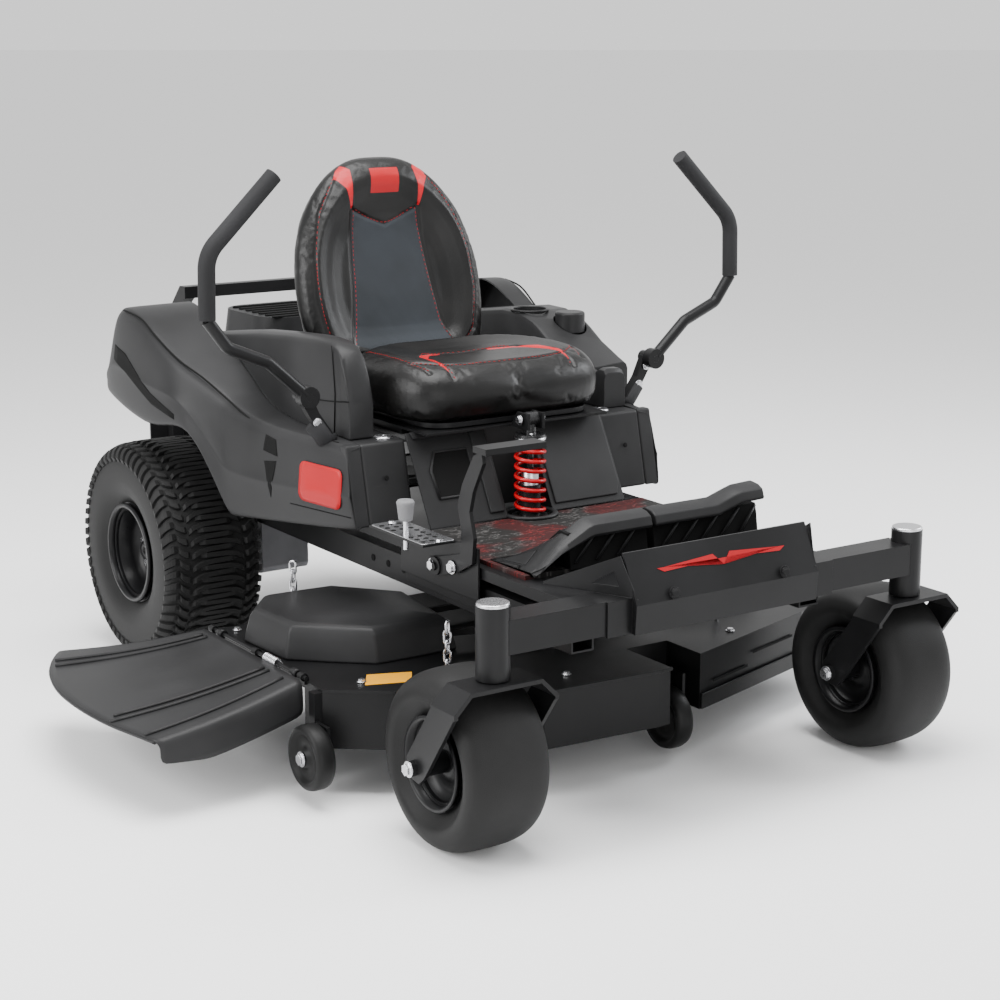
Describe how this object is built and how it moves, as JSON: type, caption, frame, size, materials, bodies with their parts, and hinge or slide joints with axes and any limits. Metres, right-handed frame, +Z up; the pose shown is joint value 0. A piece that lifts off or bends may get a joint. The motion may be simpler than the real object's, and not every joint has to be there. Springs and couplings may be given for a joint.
{
  "type": "zero turn mower",
  "caption": "Ride-on zero turn lawn mower with lap bar levers, suspended seat platform, front casters and a side-discharge cutting deck.",
  "frame": {"origin": "middle of the bottom of the whole machine's box, on the ground under the tyres", "axes": "+X towards the operator's left, +Y towards the rear, +Z up; the mower faces -Y"},
  "size_m": [1.64, 1.951, 1.1582],
  "materials": {
    "frame_paint": "satin",
    "rim_paint": "satin",
    "deck_paint": "satin",
    "body_plastic": "matte",
    "wheel_plastic": "satin",
    "seat_vinyl": "satin",
    "grip_foam": "matte",
    "tyre_rubber": "matte",
    "belt_rubber": "matte",
    "mat_rubber": "matte",
    "bright_steel": "satin",
    "muffler_steel": "matte",
    "shock_metal": "gloss",
    "spring_red": "gloss",
    "engine_alloy": "matte"
  },
  "bodies": {
    "chassis": {"frame_rails": "frame_paint", "front_beam": "frame_paint", "caster_tubes": "frame_paint", "caster_caps": "bright_steel", "front_guard": "frame_paint", "front_guard_bolts": "bright_steel", "cross_members": "frame_paint", "rear_frame": "frame_paint", "lift_bracket": "frame_paint", "shock_body": "shock_metal", "coil_spring": "spring_red", "engine_block": "engine_alloy", "engine_shroud": "body_plastic", "engine_guard": "frame_paint", "muffler": "muffler_steel", "transaxles": "engine_alloy", "drive_belt": "belt_rubber"},
    "platform": {"floor_pan": "frame_paint", "floor_mat": "mat_rubber", "footrests": "body_plastic", "front_shroud": "body_plastic", "consoles": "body_plastic", "hip_panels": "body_plastic", "fenders": "body_plastic", "fuel_tank": "body_plastic", "seat_base": "frame_paint", "shock_rod": "shock_metal"},
    "cap": {"fuel_cap": "body_plastic"},
    "seat": {"seat_pan": "frame_paint", "seat_cushion": "seat_vinyl", "seat_back": "seat_vinyl"},
    "drive_arm_right": {"lever_base_right": "frame_paint"},
    "drive_arm_left": {"lever_base_left": "frame_paint"},
    "lap_bar_right": {"lever_right": "frame_paint", "grip_right": "grip_foam"},
    "lap_bar_left": {"lever_left": "frame_paint", "grip_left": "grip_foam"},
    "rear_wheel_right": {"rear_tyre_right": "tyre_rubber", "rear_rim_right": "rim_paint"},
    "rear_wheel_left": {"rear_tyre_left": "tyre_rubber", "rear_rim_left": "rim_paint"},
    "caster_right": {"caster_fork_right": "frame_paint"},
    "caster_left": {"caster_fork_left": "frame_paint"},
    "caster_wheel_right": {"caster_tyre_right": "tyre_rubber", "caster_rim_right": "rim_paint"},
    "caster_wheel_left": {"caster_tyre_left": "tyre_rubber", "caster_rim_left": "rim_paint"},
    "deck": {"deck_shell": "deck_paint", "belt_covers": "body_plastic", "spindle_housings": "engine_alloy", "deck_belt": "belt_rubber", "hanger_chains": "bright_steel"},
    "blade_right": {"blade_spindle_right": "bright_steel"},
    "blade_middle": {"blade_spindle_middle": "bright_steel"},
    "blade_left": {"blade_spindle_left": "bright_steel"},
    "discharge_chute": {"chute": "body_plastic"},
    "scalp_roller_right": {"scalp_wheel_right": "wheel_plastic"},
    "scalp_roller_front": {"scalp_wheel_front": "wheel_plastic"},
    "pedal": {"lift_pedal": "frame_paint"},
    "pin": {"height_pin": "bright_steel"}
  },
  "joints": [
    {"name": "platform_suspension", "type": "slide", "parent": "chassis", "child": "platform", "axis": [0, 0, 1], "range_m": [-0.03, 0], "stiffness_N_per_m": 30000, "springref_m": 0.04, "deforming": ["coil_spring"]},
    {"name": "seat_tilt", "type": "hinge", "parent": "platform", "child": "seat", "pos_m": [0.12, -0.2565, 0.632], "axis": [1, 0, 0], "range_deg": [0, 40]},
    {"name": "fuel_cap_turn", "type": "hinge", "parent": "platform", "child": "cap", "pos_m": [0.505, 0.0955, 0.76], "axis": [0, 0, 1], "range_deg": [0, 90]},
    {"name": "rear_wheel_right_spin", "type": "hinge", "parent": "chassis", "child": "rear_wheel_right", "pos_m": [-0.305, 0.5355, 0.254], "axis": [1, 0, 0], "continuous": true},
    {"name": "rear_wheel_left_spin", "type": "hinge", "parent": "chassis", "child": "rear_wheel_left", "pos_m": [0.545, 0.5355, 0.254], "axis": [1, 0, 0], "continuous": true},
    {"name": "deck_height", "type": "slide", "parent": "chassis", "child": "deck", "axis": [0, 0, 1], "range_m": [0, 0.04]},
    {"name": "lift_pedal_swing", "type": "hinge", "parent": "chassis", "child": "pedal", "pos_m": [-0.198, -0.4495, 0.41], "axis": [1, 0, 0], "range_deg": [0, 20]},
    {"name": "chute_hinge", "type": "hinge", "parent": "deck", "child": "discharge_chute", "pos_m": [-0.47, -0.2045, 0.22], "axis": [0, 1, 0], "range_deg": [0, 75]},
    {"name": "scalp_right_spin", "type": "hinge", "parent": "deck", "child": "scalp_roller_right", "pos_m": [-0.502, -0.4865, 0.092], "axis": [1, 0, 0], "continuous": true},
    {"name": "scalp_front_spin", "type": "hinge", "parent": "deck", "child": "scalp_roller_front", "pos_m": [0.217, -0.6485, 0.08], "axis": [1, 0, 0], "continuous": true},
    {"name": "blade_right_spin", "type": "hinge", "parent": "deck", "child": "blade_right", "pos_m": [-0.235, -0.2645, 0.2], "axis": [0, 0, 1], "continuous": true},
    {"name": "blade_middle_spin", "type": "hinge", "parent": "deck", "child": "blade_middle", "pos_m": [0.18, -0.3545, 0.2], "axis": [0, 0, 1], "continuous": true},
    {"name": "blade_left_spin", "type": "hinge", "parent": "deck", "child": "blade_left", "pos_m": [0.595, -0.2645, 0.2], "axis": [0, 0, 1], "continuous": true},
    {"name": "height_pin_lift", "type": "slide", "parent": "chassis", "child": "pin", "axis": [0, 0, 1], "range_m": [0, 0.03]},
    {"name": "drive_right", "type": "hinge", "parent": "platform", "child": "drive_arm_right", "pos_m": [-0.249, -0.1285, 0.56], "axis": [1, 0, 0], "range_deg": [-12, 20], "stiffness_Nm_per_rad": 60},
    {"name": "lap_bar_right_swing", "type": "hinge", "parent": "drive_arm_right", "child": "lap_bar_right", "pos_m": [-0.314, -0.1525, 0.707], "axis": [0, 1, 0], "range_deg": [0, 25]},
    {"name": "caster_right_swivel", "type": "hinge", "parent": "chassis", "child": "caster_right", "pos_m": [-0.368, -0.8975, 0.4], "axis": [0, 0, 1], "continuous": true},
    {"name": "caster_wheel_right_spin", "type": "hinge", "parent": "caster_right", "child": "caster_wheel_right", "pos_m": [-0.368, -0.8105, 0.165], "axis": [1, 0, 0], "continuous": true},
    {"name": "drive_left", "type": "hinge", "parent": "platform", "child": "drive_arm_left", "pos_m": [0.489, -0.1285, 0.56], "axis": [1, 0, 0], "range_deg": [-12, 20], "stiffness_Nm_per_rad": 60},
    {"name": "lap_bar_left_swing", "type": "hinge", "parent": "drive_arm_left", "child": "lap_bar_left", "pos_m": [0.554, -0.1525, 0.707], "axis": [0, 1, 0], "range_deg": [-25, 0]},
    {"name": "caster_left_swivel", "type": "hinge", "parent": "chassis", "child": "caster_left", "pos_m": [0.608, -0.8975, 0.4], "axis": [0, 0, 1], "continuous": true},
    {"name": "caster_wheel_left_spin", "type": "hinge", "parent": "caster_left", "child": "caster_wheel_left", "pos_m": [0.608, -0.8105, 0.165], "axis": [1, 0, 0], "continuous": true}
  ],
  "couplings": [
    {"joint": "lift_pedal_swing", "follows": "deck_height", "rad_per_m": 8.7},
    {"joint": "blade_right_spin", "follows": "blade_middle_spin", "ratio": 1},
    {"joint": "blade_left_spin", "follows": "blade_middle_spin", "ratio": 1}
  ]
}
